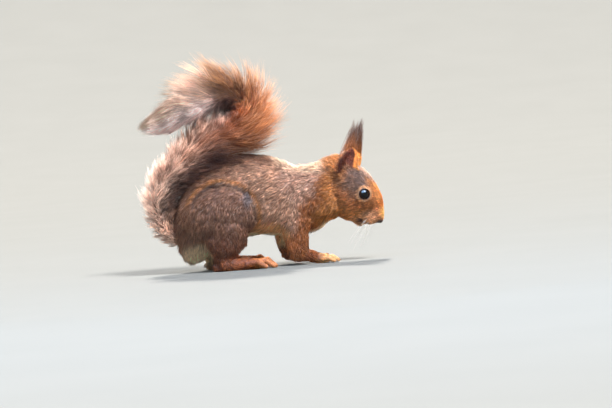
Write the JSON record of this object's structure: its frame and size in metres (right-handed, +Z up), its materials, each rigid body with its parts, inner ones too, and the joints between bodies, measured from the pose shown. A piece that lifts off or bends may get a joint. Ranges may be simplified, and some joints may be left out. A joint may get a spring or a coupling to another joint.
{
  "type": "red squirrel",
  "caption": "Still, life-size model of a red squirrel crouching on all fours, with tufted ears and its bushy tail folded over its back.",
  "frame": {"origin": "on the floor, under the middle of the animal's bounding box", "axes": "+X forward, the way the animal faces; +Y to its left; +Z up"},
  "size_m": [0.2068, 0.073, 0.1823],
  "materials": {
    "coat_brown": "short agouti fur, grey-brown with fine light and dark ticking",
    "coat_rufous": "short orange-brown fur",
    "coat_tail": "long loose fur, rufous with buff tips",
    "ear": "thin ear skin with short fur and a dark tuft",
    "eye": "wet, nearly black",
    "nose": "dark brown bare skin, slightly moist",
    "foot": "very short orange-red fur",
    "claw": "dark horn, lighter towards the tip"
  },
  "bodies": {
    "root": {"trunk": "coat_brown", "neck": "coat_rufous", "head": "coat_rufous", "nose": "nose", "eye_right": "eye", "ear_right": "ear", "eye_left": "eye", "ear_left": "ear", "tail_root": "coat_tail", "tail_rise": "coat_tail", "tail_bend": "coat_tail", "tail_tip": "coat_tail", "hind_leg_right": "coat_brown", "fore_leg_right": "coat_rufous", "hind_foot_right": "foot", "fore_foot_right": "foot", "hind_leg_left": "coat_brown", "fore_leg_left": "coat_rufous", "hind_foot_left": "foot", "fore_foot_left": "foot", "claw_hind_right_1": "claw", "claw_hind_right_2": "claw", "claw_hind_right_3": "claw", "claw_hind_right_4": "claw", "claw_hind_right_5": "claw", "claw_hind_left_1": "claw", "claw_hind_left_2": "claw", "claw_hind_left_3": "claw", "claw_hind_left_4": "claw", "claw_hind_left_5": "claw", "claw_fore_right_1": "claw", "claw_fore_right_2": "claw", "claw_fore_right_3": "claw", "claw_fore_right_4": "claw", "claw_fore_left_1": "claw", "claw_fore_left_2": "claw", "claw_fore_left_3": "claw", "claw_fore_left_4": "claw"}
  },
  "joints": []
}
